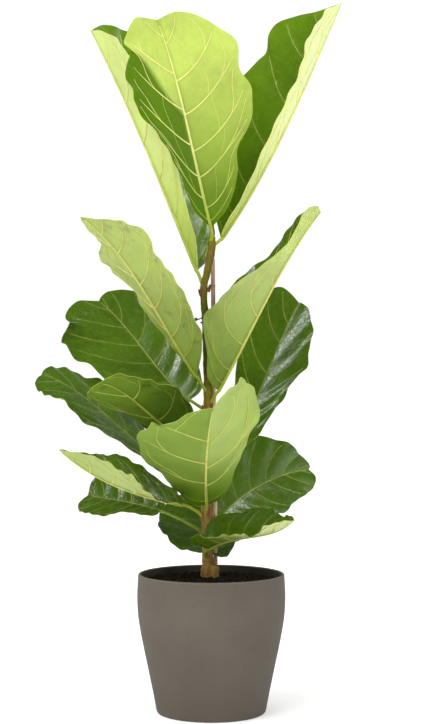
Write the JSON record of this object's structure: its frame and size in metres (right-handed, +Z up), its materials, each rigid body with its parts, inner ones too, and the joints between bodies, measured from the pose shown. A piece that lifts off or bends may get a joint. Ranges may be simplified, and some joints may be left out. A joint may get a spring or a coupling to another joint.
{
  "type": "potted fiddle leaf fig",
  "caption": "Upright fiddle leaf fig with large waved leaves on a short trunk tied to a cane, in a tapered round pot.",
  "frame": {"origin": "centre of the pot's flat underside", "axes": "+Z up the trunk, -Y to the front, +X to the viewer's right"},
  "size_m": [0.4128, 0.4254, 0.9612],
  "materials": {
    "stone_pot": "matte, finely speckled taupe grey",
    "soil": "loose dark granules",
    "trunk_bark": "green-brown bark",
    "cane": "smooth tan",
    "tie_wire": "black coated wire",
    "bud": "satin red-brown",
    "young_leaf": "glossy bright yellow-green",
    "grown_leaf": "glossy green, pale beneath",
    "old_leaf": "glossy dark green, pale beneath"
  },
  "bodies": {
    "root": {"pot": "stone_pot", "soil": "soil", "trunk": "trunk_bark", "cane": "cane", "plant_tie": "tie_wire", "crown_bud": "bud", "leaf_crown_front": "young_leaf", "leaf_crown_left": "young_leaf", "leaf_crown_right": "young_leaf", "leaf_upper_left": "grown_leaf", "leaf_middle_left": "old_leaf", "leaf_outer_left": "old_leaf", "leaf_small_front": "grown_leaf", "leaf_upper_right": "grown_leaf", "leaf_big_front": "grown_leaf", "leaf_middle_right": "old_leaf", "leaf_lower_right": "old_leaf", "leaf_lower_left": "grown_leaf", "leaf_under_left": "old_leaf", "leaf_bottom_right": "old_leaf", "leaf_bottom_back": "old_leaf"}
  },
  "joints": []
}
